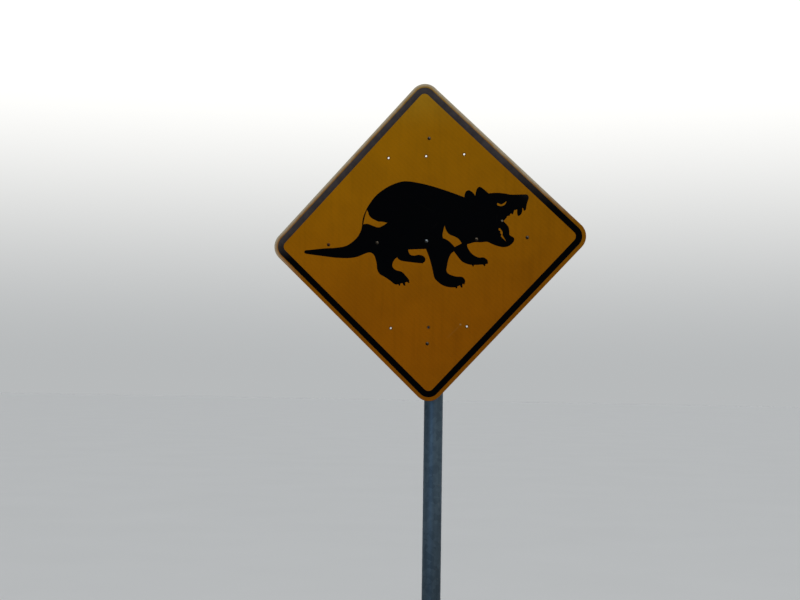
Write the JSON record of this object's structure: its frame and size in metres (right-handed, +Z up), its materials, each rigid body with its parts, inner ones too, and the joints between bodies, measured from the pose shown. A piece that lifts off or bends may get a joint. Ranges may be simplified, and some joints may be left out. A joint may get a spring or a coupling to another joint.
{
  "type": "diamond animal warning road sign on a post",
  "caption": "Diamond yellow road sign with a black border and a snarling marsupial silhouette, strapped to a galvanised pipe post on a plain flat display base.",
  "frame": {"origin": "underside of the base plate, on the post's axis", "axes": "+Z up along the post; the sign faces -Y; +X to the right seen from the front"},
  "size_m": [1.0188, 0.5, 2.5394],
  "materials": {
    "yellow_sheeting": "weathered retroreflective yellow sheeting with a fine cell pattern, faded along its upper edges",
    "black_film": "semi-gloss black sign film",
    "aluminium_plate": "dull mill-finish sheet, weathered",
    "aluminium_rail": "extruded, mill finish",
    "aluminium_rivet": "dull dome-head rivets",
    "galvanised_steel": "hot-dip galvanised, spangled and weathered",
    "zinc_fastener": "zinc plated"
  },
  "bodies": {
    "root": {"sign_plate": "aluminium_plate", "face_sheet": "yellow_sheeting", "border_film": "black_film", "figure_film": "black_film", "post": "galvanised_steel", "post_cap": "galvanised_steel", "stand_base": "galvanised_steel", "stand_collar": "galvanised_steel", "rail_middle": "aluminium_rail", "strap_middle": "galvanised_steel", "bolt_middle_1": "zinc_fastener", "washer_middle_1": "zinc_fastener", "nut_middle_1": "zinc_fastener", "bolt_middle_2": "zinc_fastener", "washer_middle_2": "zinc_fastener", "nut_middle_2": "zinc_fastener", "rail_top": "aluminium_rail", "strap_top": "galvanised_steel", "bolt_top_1": "zinc_fastener", "washer_top_1": "zinc_fastener", "nut_top_1": "zinc_fastener", "bolt_top_2": "zinc_fastener", "washer_top_2": "zinc_fastener", "nut_top_2": "zinc_fastener", "rail_bottom": "aluminium_rail", "strap_bottom": "galvanised_steel", "bolt_bottom_1": "zinc_fastener", "washer_bottom_1": "zinc_fastener", "nut_bottom_1": "zinc_fastener", "bolt_bottom_2": "zinc_fastener", "washer_bottom_2": "zinc_fastener", "nut_bottom_2": "zinc_fastener", "rivet_middle_1": "aluminium_rivet", "rivet_middle_2": "aluminium_rivet", "rivet_middle_3": "aluminium_rivet", "rivet_middle_4": "aluminium_rivet", "rivet_middle_5": "aluminium_rivet", "rivet_top_1": "aluminium_rivet", "rivet_bottom_1": "aluminium_rivet", "stand_screw_1": "zinc_fastener", "stand_screw_2": "zinc_fastener", "stand_screw_3": "zinc_fastener"}
  },
  "joints": []
}
